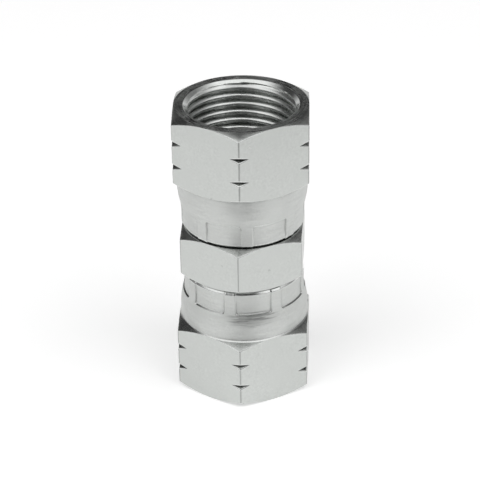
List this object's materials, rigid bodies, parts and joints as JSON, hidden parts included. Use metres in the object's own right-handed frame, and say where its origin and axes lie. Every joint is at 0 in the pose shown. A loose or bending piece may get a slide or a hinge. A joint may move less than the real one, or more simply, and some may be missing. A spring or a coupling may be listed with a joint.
{
  "type": "straight hydraulic connector",
  "caption": "Straight steel union for hydraulic lines: a hexagon body that carries a crimped, freely turning swivel nut with an internal thread at each end.",
  "frame": {"origin": "centre of the lower nut's mouth face, at the bottom centre of the connector's box, where it stands", "axes": "+Z along the flow axis, up from the lower nut to the upper nut; the front corner of each hexagon is near -Y"},
  "size_m": [0.033, 0.0366, 0.0737],
  "materials": {
    "zinc_plated_steel": "bright zinc plating over turned and milled steel, satin"
  },
  "bodies": {
    "body": {"body": "zinc_plated_steel"},
    "upper_nut": {"upper_swivel_nut": "zinc_plated_steel"},
    "lower_nut": {"lower_swivel_nut": "zinc_plated_steel"}
  },
  "joints": [
    {"name": "upper_nut_swivel", "type": "hinge", "parent": "body", "child": "upper_nut", "pos_m": [0, 0, 0.0583], "axis": [0, 0, 1], "continuous": true},
    {"name": "lower_nut_swivel", "type": "hinge", "parent": "body", "child": "lower_nut", "pos_m": [0, 0, 0.0154], "axis": [0, 0, 1], "continuous": true}
  ]
}
